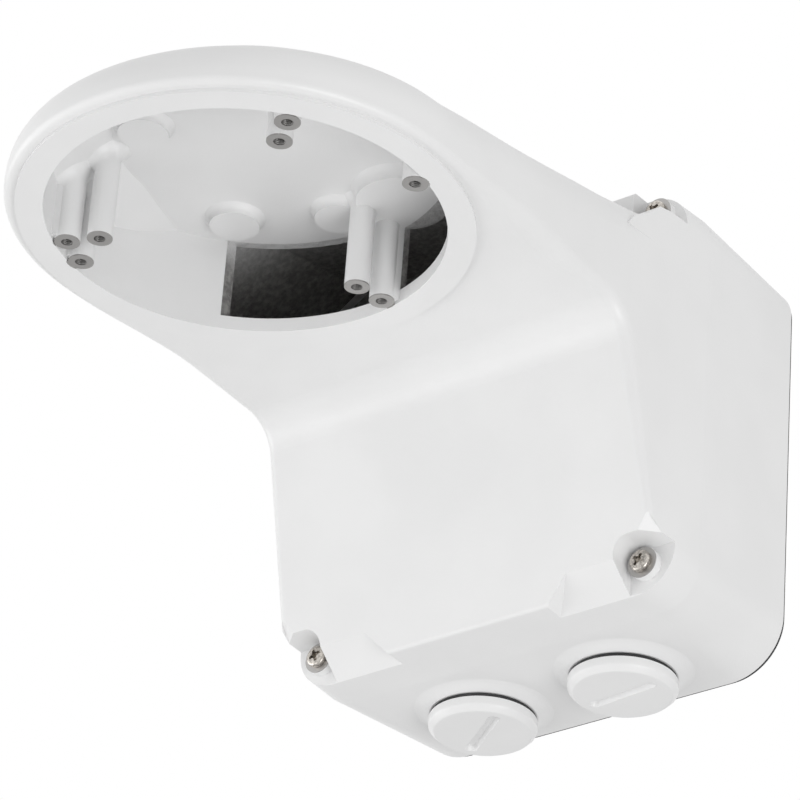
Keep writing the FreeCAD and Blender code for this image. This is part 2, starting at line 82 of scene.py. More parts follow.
# Outer walls of the arm: half-width of its sides where they run parallel and how fast they
# widen in front of that, height of its ridge line and of its roof over the axis, their slopes,
# and how far the cone round the nose climbs
SIDE_HALF = 78.5
SIDE_FLARE = 0.0536
SIDE_FLARE_Y = -148.9
RIDGE_Z = 84.46
RIDGE_SLOPE = 0.205
BEVEL_SLOPE = 0.649
NOSE_SLOPE = 0.075
ROOF_Z = 50.7
ROOF_SLOPE = 0.19
FLANGE_R = 81.5

# Bare metal in the arm: how deep under the outer faces it starts, and how much of that an
# upright line under the bevel takes, the cup's wall, and the passage's floor and front end
INSIDE = 3.0
BEVEL_DROP = 1.27
CUP_WALL = (68.04, 68.3)
PASSAGE_LOW_Z = 16.0
PASSAGE_FRONT_Y = -183.5
# Paint colour on the passage's roof near the window, partly fine paint spray and partly a painted
# highlight of the roof's lit top: its radial reach and its height band
SPRAY_LIGHT_RADIAL = (66.0, 112.0)
SPRAY_LIGHT_Z = (34.0, 48.0)

# Bare metal in the box's front half: its sloping front wall and the top of that, the step
# above it, the ledge at the bottom, the sides, and the face where the castings part
FRONT_SLOPE = -0.268
FRONT_Y = -101.9
FRONT_TOP_Y = -108.0
FRONT_TOP_Z = 15.1
STEP_Y = -79.2
STEP_TOP_Z = 77.5
LEDGE_Y = -70.0
LEDGE_Z = -66.0
ROOM_HALF = 75.8
ROOM_LOW_Z = -76.5
ROOM_BACK_Y = -58.4
PARTING_Y = -58.0
CORNER_X = 60.5
CORNER_Z = 61.0

# Bare metal in the rear tray: half-width, middle and half-height, and its back wall
TRAY_HALF = 75.2
TRAY_MID_Z = 0.2
TRAY_HALF_Z = 74.5
TRAY_FLOOR_Y = -4.2

# Blanking plugs: x of the axis and the turn of the slot in degrees. The head stands below
# PLUG_HEAD_Z and ends in a chamfer, and the neck goes up from there.
PLUGS = {"left": (-30.0, -36.0), "right": (30.0, -6.0)}
PLUG_Y = -29.5
PLUG_HEAD_Z = -83.4
PLUG_HEAD = 5.2
PLUG_CHAMFER = 2.0
PLUG_NECK_R = 15.95
PLUG_NECK = 14.0
SLOT_RAMP = 0.9

# Ceiling of the cup, the upright thickness of the bevel's wall over it, and the round pads that
# stand on it: place, radius and the height over which the casting's fillet spreads
CEILING_Z = 47.5
BEVEL_WALL = 3.64
PADS = (
    (-37.2, -179.5, 8.75, 3.3), (-3.0, -163.9, 8.75, 3.3),
    (-28.5, -240.4, 8.75, 3.3), (23.0, -162.4, 16.0, 4.8),
)
POST_FILLET = (5.0, 3.2)
PAD_SPREAD = 2.4
SUNK = 0.3

# Round pads under the tray that the plugs' rings seal on, and the tray's bottom, which climbs
# towards the wall
SEAT_R = 19.3
SEAT_Z = -81.8
SEAT_SPREAD = 6.2
BOTTOM_Z = -79.08
BOTTOM_CLIMB = 0.0247

# Camera and lamps, in metres. The camera's place and turn are fitted to the photograph.
CAMERA_PLACE = (0.88664, -1.22782, -0.85570)
CAMERA_TURN = Matrix((
    (0.80057, 0.26309, 0.53840),
    (0.59583, -0.44518, -0.66843),
    (0.06383, 0.85592, -0.51315),
))
LAMPS = {
    "front": ((-0.55, -1.35, -0.75), 1.1),
    "right": ((1.1, -0.5, -0.9), 1.0),
    "left": ((-1.3, -0.7, -0.3), 1.2),
    "top": ((0.1, -0.5, 1.4), 1.2),
}
LAMP_TARGET = (0.0, -0.15, 0.0)
FLOOR_HALF = 30
WHITE = (1.0, 1.0, 1.0, 1.0)


class Shade:
    """A socket of a node tree. An expression on it adds the Math nodes that work it out."""

    def __init__(self, recipe, socket):
        self.recipe = recipe
        self.socket = socket

    def __add__(self, other):
        return self.recipe.maths("ADD", self, other)

    def __radd__(self, other):
        return self.recipe.maths("ADD", other, self)

    def __sub__(self, other):
        return self.recipe.maths("SUBTRACT", self, other)

    def __rsub__(self, other):
        return self.recipe.maths("SUBTRACT", other, self)

    def __mul__(self, other):
        return self.recipe.maths("MULTIPLY", self, other)

    def __rmul__(self, other):
        return self.recipe.maths("MULTIPLY", other, self)

    def __lt__(self, other):
        return self.recipe.maths("LESS_THAN", self, other)

    def __gt__(self, other):
        return self.recipe.maths("GREATER_THAN", self, other)

    def __abs__(self):
        return self.recipe.maths("ABSOLUTE", self)

    def least(self, other):
        return self.recipe.maths("MINIMUM", self, other)

    def most(self, other):
        return self.recipe.maths("MAXIMUM", self, other)


class Recipe:
    """The node tree of a material or a world, with one method that makes any node."""

    def __init__(self, owner):
        self.owner = owner
        owner.use_nodes = True
        self.tree = owner.node_tree
        self.tree.nodes.clear()

    def node(self, kind, settings=None, sockets=None):
        made = self.tree.nodes.new(kind)
        for key, value in (settings or {}).items():
            setattr(made, key, value)
        for key, value in (sockets or {}).items():
            target = made.inputs[key]
            if isinstance(value, Shade):
                self.tree.links.new(value.socket, target)
            else:
                target.default_value = value
        return made

    def out(self, kind, output, settings=None, sockets=None):
        return Shade(self, self.node(kind, settings, sockets).outputs[output])

    def maths(self, operation, first, second=0.0):
        return self.out("ShaderNodeMath", 0, {"operation": operation}, {0: first, 1: second})

    def between(self, value, low, high):
        """0 below low, 1 above high and a smooth step from one to the other."""
        settings = {"interpolation_type": "SMOOTHSTEP"}
        sockets = {0: value, 1: low, 2: high, 3: 0.0, 4: 1.0}
        return self.out("ShaderNodeMapRange", 0, settings, sockets)

    def mix_colour(self, share, first, second):
        sockets = {0: share, 6: first, 7: second}
        return self.out("ShaderNodeMix", 2, {"data_type": "RGBA"}, sockets)

    def mix_shader(self, share, first, second):
        return self.out("ShaderNodeMixShader", 0, None, {0: share, 1: first, 2: second})

    def where(self):
        """Object coordinates, in metres."""
        return self.out("ShaderNodeTexCoord", "Object")

    def parts(self, vector):
        """The x, y and z of a vector."""
        split = self.node("ShaderNodeSeparateXYZ", None, {0: vector})
        return [Shade(self, output) for output in split.outputs]

    def noise(self, coordinates, scale, detail=3.0, rough=0.55):
        sockets = {"Vector": coordinates, "Scale": scale, "Detail": detail, "Roughness": rough}
        return self.out("ShaderNodeTexNoise", 0, None, sockets)

    def bump(self, height, distance, strength=1.0, under=None):
        sockets = {"Height": height, "Distance": distance, "Strength": strength}
        if under is not None:
            sockets["Normal"] = under
        return self.out("ShaderNodeBump", 0, None, sockets)

    def surface(self, **sockets):
        """Finish the material with a Principled shader, its inputs given by name."""
        named = {key.replace("_", " "): value for key, value in sockets.items()}
        shader = self.out("ShaderNodeBsdfPrincipled", 0, None, named)
        self.node("ShaderNodeOutputMaterial", None, {0: shader})
        return self.owner


def new_recipe(name):
    return Recipe(bpy.data.materials.new(name))


def tinted(colour, share=1.0):
    """A colour times a share, with full alpha."""
    return (*[share * part for part in colour], 1.0)


def distance_to(recipe, u, v, centre):
    """Distance, in metres, from the point (u, v) to a centre given in millimetres."""
    across = u - centre[0] * MM
    up = v - centre[1] * MM
    return recipe.maths("SQRT", across * across + up * up)


def nearest(recipe, u, v, centres):
    """Distance, in metres, from the point (u, v) to the nearest of the centres."""
    closest = None
    for centre in centres:
        away = distance_to(recipe, u, v, centre)
        closest = away if closest is None else closest.least(away)
    return closest


def painted_casting(name, finish, inside, bare_spots):
    """Satin white powder coat with a fine orange peel. Where inside(x, y, z) is 1 the die-cast
    metal is left bare and rough, and where bare_spots(x, y, z) is 1 it is machined."""
    recipe = new_recipe(name)
    where = recipe.where()
    x, y, z = recipe.parts(where)
    cloud = recipe.noise(where, scale=22.0, detail=2.0)
    peel = recipe.noise(where, scale=1100.0, detail=2.0, rough=0.4)
    grit = recipe.noise(where, scale=420.0, detail=5.0, rough=0.65)
    shaded = tinted(finish.paint_colour, 0.965)
    paint = recipe.mix_colour(recipe.between(cloud, 0.3, 0.7), shaded, tinted(finish.paint_colour))
    ragged = inside(recipe, x, y, z) + (grit - 0.5) * 0.35
    bare = recipe.between(ragged, 0.42, 0.58)
    turned = bare_spots(recipe, x, y, z)
    metal = tinted(finish.metal_colour)
    pits = tinted(finish.metal_colour, 0.55)
    cast = recipe.mix_colour(recipe.between(grit, 0.35, 0.7), pits, metal)
    # Paint colour laid on the bare roof by the window: fine paint spray and a painted highlight of
    # the lit roof
    spray_and_light = spray_and_painted_light(recipe, x, y, z) * (0.65 + grit * 0.7)
    cast = recipe.mix_colour(spray_and_light, cast, paint)
    colour = recipe.mix_colour(bare, paint, cast)
    colour = recipe.mix_colour(turned, colour, metal)
    rough_paint = finish.paint_roughness + (cloud - 0.5) * 0.12
    roughness = rough_paint * (1.0 - bare) + (0.42 + grit * 0.3) * bare
    roughness = roughness * (1.0 - turned) + turned * 0.34
    smooth = recipe.bump(peel, distance=0.00006, strength=0.55)
    pitted = recipe.bump(grit * bare, distance=0.0009, strength=0.8, under=smooth)
    return recipe.surface(
        Base_Color=colour, Roughness=roughness, Metallic=(bare * 0.45).most(turned * 0.9),
        Normal=pitted,
    )


def arm_inside(recipe, x, y, z):
    """1 in the arm's passage and the front half of the box, and 0 in the cup and outside. The
    passage lies more than INSIDE under the sides, the bevel and the roof, which is most of
    their wall, so that no painted face is reached."""
    depth = INSIDE * MM
    behind_axis = y - AXIS_Y * MM
    half = SIDE_HALF * MM + (SIDE_FLARE_Y * MM - y).most(0.0) * SIDE_FLARE
    radial = distance_to(recipe, x, y, (0.0, AXIS_Y))
    past_cup = recipe.between(radial, CUP_WALL[0] * MM, CUP_WALL[1] * MM)
    ridge = RIDGE_Z * MM + behind_axis * RIDGE_SLOPE
    bevel = ridge - (FLANGE_R * MM - half + abs(x)) * BEVEL_SLOPE - BEVEL_DROP * depth
    roof = ROOF_Z * MM + behind_axis.most(0.0) * ROOF_SLOPE - depth
    passage = past_cup * (z < roof.least(bevel)) * (z > PASSAGE_LOW_Z * MM)
    passage = passage * (abs(x) < half - depth) * (y > PASSAGE_FRONT_Y * MM)
    front = z * FRONT_SLOPE + FRONT_Y * MM
    behind_front = (y > front.most(FRONT_TOP_Y * MM)) * (z < FRONT_TOP_Z * MM)
    behind_step = (y > STEP_Y * MM) * (z < STEP_TOP_Z * MM)
    ledge = (z < LEDGE_Z * MM) * (y < LEDGE_Y * MM)
    room = behind_front.most(behind_step) * (abs(x) < ROOM_HALF * MM) * (z > ROOM_LOW_Z * MM)
    room = room * (1.0 - ledge) * (1.0 - corner_block(x, z)) * (y < ROOM_BACK_Y * MM)
    return passage.most(room)


def spray_and_painted_light(recipe, x, y, z):
    """Share of paint colour on the passage's roof, partly fine paint spray and partly a painted
    highlight of the roof's lit top: full at the window's lintel and gone 44 mm behind it.
    """
    radial = distance_to(recipe, x, y, (0.0, AXIS_Y))
    behind = recipe.between(radial, SPRAY_LIGHT_RADIAL[0] * MM, SPRAY_LIGHT_RADIAL[1] * MM)
    return (1.0 - behind) * recipe.between(z, SPRAY_LIGHT_Z[0] * MM, SPRAY_LIGHT_Z[1] * MM)


def corner_block(x, z):
    """1 in the four corners that the screw pockets and the outer rounding take."""
    return (abs(x) > CORNER_X * MM) * (abs(z) > CORNER_Z * MM)


def arm_bare_spots(recipe, x, y, z):
    """1 on the machined ends and tapped holes of the posts and on the screws' seats."""
    post = nearest(recipe, x, y, POSTS)
    ragged = post + (recipe.noise(recipe.where(), scale=700.0) - 0.5) * 0.0009
    ends = (ragged < POST_END_R * MM) * (z < (RING_Z + 0.4) * MM)
    holes = (post < POST_HOLE_R * MM) * (z < (RING_Z + POST_HOLE_DEEP) * MM)
    seat = nearest(recipe, x, z, SCREWS.values())
    seats = (seat < SCREW_BOSS_R * MM) * (abs(y - SCREW_SEAT_Y * MM) < 0.5 * MM)
    shafts = (seat < SCREW_SHAFT_R * MM) * (y < PARTING_Y * MM)
    return ends.most(holes).most(seats.most(shafts))


def tray_inside(recipe, x, y, z):
    """1 on the inner faces of the rear tray, where the metal is left bare."""
    upright = abs(z - TRAY_MID_Z * MM) < TRAY_HALF_Z * MM
    room = (abs(x) < TRAY_HALF * MM) * upright * (y < TRAY_FLOOR_Y * MM)
    return room * (1.0 - corner_block(x, z))


def no_spots(recipe, x, y, z):
    return x * 0.0


def moulded(name, finish):
    """White plugs: the same white, a little smoother, with a fine peel."""
    recipe = new_recipe(name)
    where = recipe.where()
    cloud = recipe.noise(where, scale=60.0, detail=2.0)
    peel = recipe.noise(where, scale=1500.0, detail=2.0, rough=0.4)
    shaded = tinted(finish.paint_colour, 0.96)
    return recipe.surface(
        Base_Color=recipe.mix_colour(cloud, shaded, tinted(finish.paint_colour)),
        Roughness=0.34 + (cloud - 0.5) * 0.1,
        Normal=recipe.bump(peel, distance=0.00005, strength=0.5),
    )


def rubber(name, finish):
    """Matt black rubber with a dusty bloom."""
    recipe = new_recipe(name)
    where = recipe.where()
    bloom = recipe.noise(where, scale=160.0, detail=4.0)
    grain = recipe.noise(where, scale=2600.0, detail=2.0)
    dusty = tinted([2.2 * part + 0.01 for part in finish.rubber_colour])
    share = recipe.between(bloom, 0.4, 0.8)
    return recipe.surface(
        Base_Color=recipe.mix_colour(share, tinted(finish.rubber_colour), dusty),
        Roughness=0.62 + bloom * 0.2,
        Normal=recipe.bump(grain, distance=0.00008, strength=0.5),
    )


def shaded_thread_metal(name, finish):
    """Thread cut in the bare casting: the bare metal darkened to a dull dark grey as painted shade
    of the deep tapped holes, with a fine drag along the cut.
    """
    recipe = new_recipe(name)
    drag = recipe.noise(recipe.where(), scale=1800.0, detail=4.0, rough=0.7)
    # Both tones are the bare metal darkened: painted shade for the inside of the holes
    dark = tinted(finish.metal_colour, 0.3)
    grey = tinted(finish.metal_colour, 0.6)
    return recipe.surface(
        Base_Color=recipe.mix_colour(drag, dark, grey),
        Roughness=0.4 + drag * 0.2,
        Metallic=0.8,
        Normal=recipe.bump(drag, distance=0.00003, strength=0.5),
    )


def plated(name, finish):
    """Bright nickel plate, with fine marks and darker spots from handling."""
    recipe = new_recipe(name)
    where = recipe.where()
    marks = recipe.noise(where, scale=900.0, detail=4.0, rough=0.7)
    fine = recipe.noise(where, scale=3200.0, detail=2.0)
    dull = tinted(finish.nickel_colour, 0.62)
    share = recipe.between(marks, 0.42, 0.62)
    return recipe.surface(
        Base_Color=recipe.mix_colour(share, dull, tinted(finish.nickel_colour)),
        Roughness=0.2 + marks * 0.16,
        Metallic=1.0,
        Normal=recipe.bump(fine, distance=0.00002, strength=0.4),
    )


def grid_piece(name, points, material, caps=(False, False), sharp=35.0):
    """Mesh of a grid of points, rows by columns. The columns close into a ring, and a cap
    joins the first or last row to its own middle point."""
    rows, columns, _ = points.shape
    index = np.arange(rows * columns).reshape(rows, columns)
    index = np.concatenate([index, index[:, :1]], axis=1)
    quads = np.stack([index[:-1, :-1], index[:-1, 1:], index[1:, 1:], index[1:, :-1]], axis=-1)
    faces = quads.reshape(-1, 4).tolist()
    flat = points.reshape(-1, 3)
    for row, wanted, turned in ((0, caps[0], True), (rows - 1, caps[1], False)):
        if wanted:
            flat = np.concatenate([flat, points[row].mean(0, keepdims=True)])
            ring = index[row]
            tip = np.full(len(ring) - 1, len(flat) - 1)
            pair = (ring[1:], ring[:-1]) if turned else (ring[:-1], ring[1:])
            faces += np.stack([pair[0], pair[1], tip], axis=-1).tolist()
    mesh = bpy.data.meshes.new(name)
    mesh.from_pydata(flat.tolist(), [], faces)
    mesh.update()
    mesh.shade_smooth()
    mesh.set_sharp_from_angle(angle=math.radians(sharp))
    mesh.materials.append(material)
    piece = bpy.data.objects.new(name, mesh)
    bpy.context.scene.collection.objects.link(piece)
    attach(piece, "root")
    return piece


def ceiling_at(x, y):
    """Height of the cup's ceiling: flat, or the underside of the bevel where that is lower,
    which is a cone in front of the flange's axis and a climbing slope behind it."""
    behind = y - AXIS_Y
    peak = RIDGE_Z - BEVEL_WALL
    cone = peak + NOSE_SLOPE * behind - BEVEL_SLOPE * np.hypot(x, behind)
    slope = peak + RIDGE_SLOPE * behind - BEVEL_SLOPE * np.abs(x)
    return np.minimum(CEILING_Z, np.where(behind < 0, cone, slope))


def rounded_profile(corners, steps=5):
    """Points along a profile of (radius, height, rounding) corners. Each inner corner is
    replaced by a quadratic curve that starts and ends one rounding away from it."""
    corners = np.array(corners, float)
    points = [corners[:1, :2]]
    for before, here, after in zip(corners[:-2], corners[1:-1], corners[2:]):
        if here[2] <= 0:
            points.append(here[None, :2])
            continue
        back = before[:2] - here[:2]
        onward = after[:2] - here[:2]
        start = here[:2] + back / np.linalg.norm(back) * here[2]
        end = here[:2] + onward / np.linalg.norm(onward) * here[2]
        t = np.linspace(0, 1, steps)[:, None]
        points.append((1 - t) ** 2 * start + 2 * t * (1 - t) * here[:2] + t ** 2 * end)
    points.append(corners[-1:, :2])
    return np.concatenate(points)


def threaded(profile, sides, first, last, pitch, depth):
    """Grid of (radius, angle, height) of a turned profile. Between the heights first and last
    the radius dips as a triangle wave whose phase climbs one pitch in each turn."""
    angle = np.linspace(0, 2 * math.pi, sides, endpoint=False)
    radius = np.repeat(profile[:, :1], sides, axis=1)
    height = np.repeat(profile[:, 1:2], sides, axis=1)
    phase = (height / pitch - angle[None, :] / (2 * math.pi)) % 1.0
    dip = 1 - np.abs(2 * phase - 1)
    inside = np.clip(np.minimum(height - first, last - height) / pitch, 0, 1)
    return radius - depth * dip * inside, np.broadcast_to(angle, radius.shape), height


def cross_recess(radius, angle, reach, half_width, depth):
    """Depth of a cross-shaped driver recess: full along four arms that narrow towards their
    ends, and gone outside them."""
    nearest_arm = (angle + math.pi / 4) % (math.pi / 2) - math.pi / 4
    along = radius * np.cos(nearest_arm)
    across = np.abs(radius * np.sin(nearest_arm))
    width = half_width * (1.25 - 0.35 * along / reach)
    in_arm = np.clip((width - across) / 0.14 + 0.5, 0, 1)
    in_reach = np.clip((reach - along) / 0.5, 0, 1)
    core = np.clip((reach * 0.52 - radius) / 0.3, 0, 1)
    return depth * np.maximum(in_arm * in_reach ** 0.6, core)


def straight(radius, low, high, rows):
    """Profile of a cylinder: one radius, and heights from low to high."""
    return np.stack([np.full(rows, radius), np.linspace(low, high, rows)], axis=1)


def in_mm(length):
    """A length setting, which Blender holds in metres, in millimetres."""
    return round(length / MM, 4)


class BracketSizes(PropertyGroup):
    """Sizes of the small fittings that are drawn here."""

    screw_head: FloatProperty(
        name="Screw head", description="Width of a cover screw's head",
        default=0.008, min=0.006, max=0.009, unit="LENGTH", precision=5)
    screw_height: FloatProperty(
        name="Screw head height", description="Height of a cover screw's head",
        default=0.0025, min=0.002, max=0.004, unit="LENGTH", precision=5)
    recess_reach: FloatProperty(
        name="Cross reach", description="From the screw's axis to the end of a cross arm",
        default=0.00235, min=0.001, max=0.003, unit="LENGTH", precision=5)
    thread_pitch: FloatProperty(
        name="Thread pitch", description="Pitch of the M4 threads",
        default=0.0007, min=0.0003, max=0.0015, unit="LENGTH", precision=5)
    plug_head: FloatProperty(
        name="Plug head", description="Width of a blanking plug's head",
        default=0.0388, min=0.036, max=0.040, unit="LENGTH", precision=5)
    slot_length: FloatProperty(
        name="Plug slot", description="Length of the slot across a plug",
        default=0.028, min=0.010, max=0.034, unit="LENGTH", precision=5)
    slot_width: FloatProperty(
        name="Plug slot width", description="Width of the slot",
        default=0.003, min=0.001, max=0.005, unit="LENGTH", precision=5)
    slot_depth: FloatProperty(
        name="Plug slot depth", description="Depth of the slot",
        default=0.0017, min=0.0005, max=0.0025, unit="LENGTH", precision=5)
    segments: IntProperty(
        name="Segments", description="Points round a screw", default=144, min=48, max=256)


class BracketFinish(PropertyGroup):
    """Colours and gloss of the finishes."""

    paint_colour: FloatVectorProperty(
        name="Paint", description="Colour of the powder coat",
        default=(0.80, 0.80, 0.80), subtype="COLOR", min=0, max=1)
    paint_roughness: FloatProperty(
        name="Paint roughness", description="Roughness of the powder coat",
        default=0.36, min=0, max=1, subtype="FACTOR")
    metal_colour: FloatVectorProperty(
        name="Bare casting", description="Colour of the bare cast metal",
        default=(0.45, 0.44, 0.43), subtype="COLOR", min=0, max=1)
    nickel_colour: FloatVectorProperty(
        name="Nickel", description="Colour of the screws' plating",
        default=(0.66, 0.62, 0.57), subtype="COLOR", min=0, max=1)
    rubber_colour: FloatVectorProperty(
        name="Rubber", description="Colour of the seals and the wall mat",
        default=(0.018, 0.018, 0.019), subtype="COLOR", min=0, max=1)


class BracketStage(PropertyGroup):
    """Camera and light."""

    lens: FloatProperty(
        name="Lens", description="Focal length on a 36 mm sensor",
        default=214.9, min=50, max=400, unit="CAMERA")
    ambient: FloatProperty(
        name="Ambient", description="Strength of the light from all round",
        default=0.7, min=0, max=2, subtype="FACTOR")
    front: FloatProperty(
        name="Front", description="Power of the low lamp in front",
        default=2.6, min=0, max=100, unit="POWER")
    right: FloatProperty(
        name="Right", description="Power of the low lamp on the right",
        default=8.6, min=0, max=100, unit="POWER")
    left: FloatProperty(
        name="Left", description="Power of the lamp on the left",
        default=7.8, min=0, max=100, unit="POWER")
    top: FloatProperty(
        name="Top", description="Power of the lamp overhead",
        default=1.2, min=0, max=100, unit="POWER")
    floor_height: FloatProperty(
        name="Floor", description="Height of the floor, from the wall holes' middle",
        default=-1.95, unit="LENGTH")


def dress(names, material):
    """Give each named CAD node one material."""
    for name in names:
        slots = NODES[name].data.materials
        slots.clear()
        slots.append(material)


class BRACKET_OT_castings(Operator):
    """Paint the arm casting and the rear tray, and leave their inner faces bare."""

    bl_idname = "bracket.castings"
    bl_label = "Castings"

    def execute(self, context):
        finish = context.scene.bracket_finish
        arm = painted_casting("paint_arm", finish, arm_inside, arm_bare_spots)
        dress(["arm_casting"], arm)
        tray = painted_casting("paint_tray", finish, tray_inside, no_spots)
        dress(["junction_box"], tray)
        return {"FINISHED"}


class BRACKET_OT_rubber(Operator):
    """Wall mat, box seal and plug rings in black rubber."""

    bl_idname = "bracket.rubber"
    bl_label = "Rubber parts"

    def execute(self, context):
        material = rubber("black_rubber", context.scene.bracket_finish)
        dress(["wall_gasket", "box_seal", "plug_ring_left", "plug_ring_right"], material)
        return {"FINISHED"}


class BRACKET_OT_screws(Operator):
    """Pan-head cover screws. The head is a profile turned about the screw's axis, its crown
    falling with the square of the radius, sunk by a cross-shaped recess. The shank's radius
    carries a triangular thread."""

    bl_idname = "bracket.screws"
    bl_label = "Cover screws"

    def execute(self, context):
        sizes = context.scene.bracket_sizes
        material = plated("nickel_plate", context.scene.bracket_finish)
        head = in_mm(sizes.screw_head) / 2
        crown_end = head - 0.7
        across = np.linspace(0.02, crown_end, 46)
        crown = np.stack([across, in_mm(sizes.screw_height) - 0.55 * (across / head) ** 2], axis=1)
        rim = crown[-1, 1]
        side = rounded_profile([
            (crown_end, rim, 0), (head, rim - 0.45, 0.5), (head, 0.25, 0.2),
            (head - 0.2, 0.0, 0), (SCREW_THREAD_R, 0.0, 0),
        ])[1:]
        shank = straight(SCREW_THREAD_R, 0, 0.6 - SCREW_REACH, 180)
        tip = np.array([(1.5, -SCREW_REACH), (0.02, -SCREW_REACH)])
        profile = np.concatenate([crown, side, shank, tip])
        pitch = in_mm(sizes.thread_pitch)
        radius, angle, height = threaded(
            profile, sizes.segments, 0.4 - SCREW_REACH, -1.0, pitch, depth=0.36)
        sunk = cross_recess(radius, angle, in_mm(sizes.recess_reach), half_width=0.52, depth=1.9)
        in_crown = (np.arange(len(profile)) < len(crown))[:, None]
        height = height - sunk * in_crown
        for name, (x, z, cross_turn) in SCREWS.items():
            turn = angle + cross_turn
            points = np.stack([
                x + radius * np.cos(turn), SCREW_SEAT_Y - height, z + radius * np.sin(turn),
            ], axis=-1) * MM
            piece = grid_piece(
                "pan_screw_" + name, points, material, (True, True), 40.0)
            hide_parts("cover_screw_" + name)
        return {"FINISHED"}


class BRACKET_OT_plugs(Operator):
    """Blanking plugs. The head is a turned profile with rounded edges, sunk by a straight slot
    with round ends, and the neck carries a triangular thread."""

    bl_idname = "bracket.plugs"
    bl_label = "Blanking plugs"

    def execute(self, context):
        sizes = context.scene.bracket_sizes
        material = moulded("moulded_white", context.scene.bracket_finish)
        head = in_mm(sizes.plug_head) / 2
        face = head - PLUG_CHAMFER
        face_rows = 120
        rings = np.linspace(0.05, face - 1.0, face_rows)
        flat = np.stack([rings, np.full(face_rows, -PLUG_HEAD)], axis=1)
        rest = rounded_profile([
            (face - 1.0, -PLUG_HEAD, 0), (face, -PLUG_HEAD, 0.45),
            (head, PLUG_CHAMFER - PLUG_HEAD, 0.6), (head, 0.0, 0.25), (PLUG_NECK_R, 0.0, 0),
        ], 8)[1:]
        neck = straight(PLUG_NECK_R, 0, PLUG_NECK - 0.6, 90)
        end = np.array([(PLUG_NECK_R - 0.65, PLUG_NECK), (0.05, PLUG_NECK)])
        profile = np.concatenate([flat, rest, neck, end])
        radius, angle, height = threaded(profile, 192, 1.0, PLUG_NECK, pitch=1.5, depth=0.8)
        in_face = (np.arange(len(profile)) < face_rows)[:, None]
        slot_half = in_mm(sizes.slot_width) / 2
        half = in_mm(sizes.slot_length) / 2 - slot_half
        for name, (x, turn) in PLUGS.items():
            own = angle - math.radians(turn)
            along = np.abs(radius * np.cos(own))
            across = np.abs(radius * np.sin(own))
            off = np.hypot(np.clip(along - half, 0, None), across)
            sunk = in_mm(sizes.slot_depth) * np.clip((slot_half - off) / SLOT_RAMP + 0.5, 0, 1)
            points = np.stack([
                x + radius * np.cos(angle), PLUG_Y + radius * np.sin(angle),
                PLUG_HEAD_Z + height + sunk * in_face,
            ], axis=-1) * MM
            piece = grid_piece(
                "slotted_plug_" + name, points[:, ::-1], material,
                (True, True), 38.0)
            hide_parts("blanking_plug_" + name)
        return {"FINISHED"}


class BRACKET_OT_post_threads(Operator):
    """Tapped threads in the camera posts: a tube whose radius swings between the thread's
    outer and core size as a triangle wave that climbs one pitch a turn."""

    bl_idname = "bracket.post_threads"
    bl_label = "Post threads"

    def execute(self, context):
        sizes = context.scene.bracket_sizes
        # The threads take the darkened metal, painted shade of the holes
        material = shaded_thread_metal("cut_thread", context.scene.bracket_finish)
        profile = straight(POST_THREAD_R, 0.1, POST_THREAD_DEEP, 100)
        pitch = in_mm(sizes.thread_pitch)
        radius, angle, height = threaded(profile, 40, -1.0, 20.0, pitch, depth=0.34)
        for number, (x, y) in enumerate(POSTS, 1):
            points = np.stack([
                x + radius * np.cos(angle), y + radius * np.sin(angle), RING_Z + height,
            ], axis=-1) * MM
            grid_piece(
                "post_thread_%d" % number, points[:, ::-1], material,
                (False, True), 50.0)
        return {"FINISHED"}


class BRACKET_OT_fillets(Operator):
    """Cast fillets. Round each post and pad in the cup, the radius grows towards the ceiling
    with a power of the height, and the fillet follows the ceiling where that slopes. Round
    each plug's seat, the surface sinks from the tray's bottom to the seat's edge with a power
    of the distance."""

    bl_idname = "bracket.fillets"
    bl_label = "Cast fillets"

    def execute(self, context):
        finish = context.scene.bracket_finish
        material = painted_casting("paint_fillet", finish, no_spots, no_spots)
        angle = np.linspace(0, 2 * math.pi, 72, endpoint=False)
        feet = [(x, y, POST_R, *POST_FILLET) for x, y in POSTS]
        feet += [(x, y, radius, height, PAD_SPREAD) for x, y, radius, height in PADS]
        rise = np.linspace(0, 1, 14)
        for number, (x, y, foot, height, spread) in enumerate(feet, 1):
            radius = np.concatenate([foot + spread * rise ** 2.2, [foot - 0.5, foot - 0.5]])
            below = np.concatenate([height * (1 - rise), [0.0, height]]) - SUNK
            radius, below = (np.append(part, part[0])[:, None] for part in (radius, below))
            across, along = x + radius * np.cos(angle), y + radius * np.sin(angle)
            points = np.stack([across, along, ceiling_at(across, along) - below], axis=-1) * MM
            grid_piece("cup_fillet_%02d" % number, points, material, sharp=50.0)
        share = np.linspace(0, 1, 24)
        rim = SEAT_R + SEAT_SPREAD
        radius = np.concatenate([SEAT_R + SEAT_SPREAD * share, [rim, SEAT_R - 0.6, SEAT_R - 0.6]])
        low = np.concatenate([(1 - share) ** 1.7, [0.0, 0.0, 1.0]])[:, None]
        lift = np.concatenate([share * 0, [0.8, 0.8, 0.0]])[:, None]
        for name, (x, _) in PLUGS.items():
            across = x + radius[:, None] * np.cos(angle)
            along = PLUG_Y + radius[:, None] * np.sin(angle)
            bottom = BOTTOM_Z + (along - PLUG_Y) * BOTTOM_CLIMB + 0.05
            level = bottom + (SEAT_Z + 0.02 - bottom) * low + lift
            points = np.stack([across, along, level], axis=-1)
            points = np.concatenate([points, points[:1]]) * MM
            grid_piece("seat_fillet_" + name, points[:, ::-1], material, sharp=50.0)
        return {"FINISHED"}


